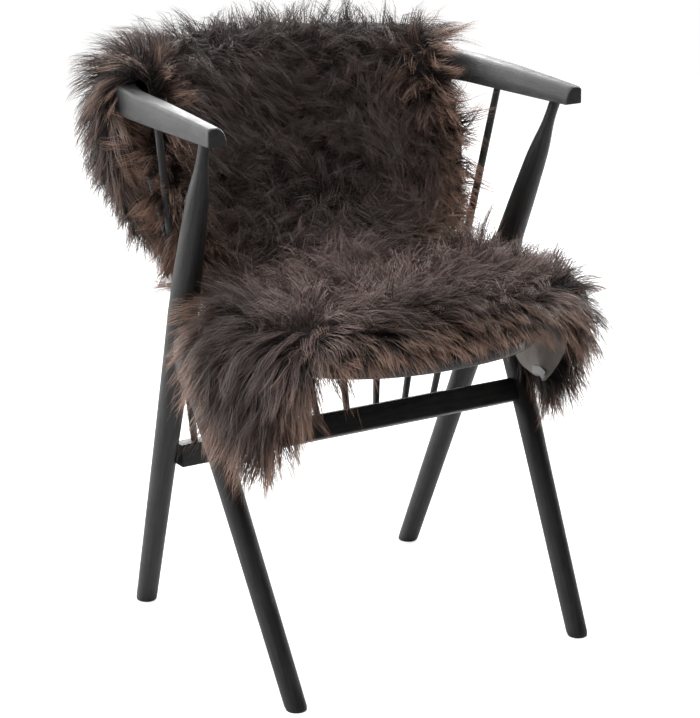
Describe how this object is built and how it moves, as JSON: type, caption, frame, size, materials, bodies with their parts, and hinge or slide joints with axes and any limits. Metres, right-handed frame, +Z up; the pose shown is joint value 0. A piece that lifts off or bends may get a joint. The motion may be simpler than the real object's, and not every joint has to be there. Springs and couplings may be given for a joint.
{
  "type": "sheepskin rug on a slim wooden dining chair",
  "caption": "Long-haired brown sheepskin thrown over the seat, the back and the arm rail of a slim dark wooden chair.",
  "frame": {"origin": "on the floor under the middle of the whole object's box", "axes": "+Z up, the chair faces -Y, +X to the sitter's left, which is the right side in a front view"},
  "size_m": [0.5828, 0.6067, 0.7571],
  "materials": {
    "fur": "long glossy wool hair, dark brown with paler mauve-brown tips, on a tanned hide",
    "label": "plain woven tape, blank",
    "leather": "smooth black leather, soft sheen",
    "wood": "open-grained wood, stained black, satin lacquer"
  },
  "bodies": {
    "root": {"sheepskin": "fur", "locks_front": "fur", "locks_flap_left": "fur", "locks_flap_right": "fur", "locks_back_left": "fur", "locks_back_right": "fur", "locks_rear_left": "fur", "locks_rear_right": "fur", "locks_tail_left": "fur", "locks_tail_right": "fur", "locks_tail": "fur", "label": "label", "seat_pad": "leather", "arm_rail": "wood", "rear_leg_left": "wood", "rear_leg_right": "wood", "front_leg_left": "wood", "front_leg_right": "wood", "stretcher_rear": "wood", "stretcher_front": "wood", "seat_rail": "wood", "spindle_1": "wood", "spindle_2": "wood", "spindle_3": "wood", "spindle_4": "wood", "spindle_5": "wood", "spindle_6": "wood", "spindle_7": "wood", "spindle_8": "wood", "spindle_9": "wood"}
  },
  "joints": []
}
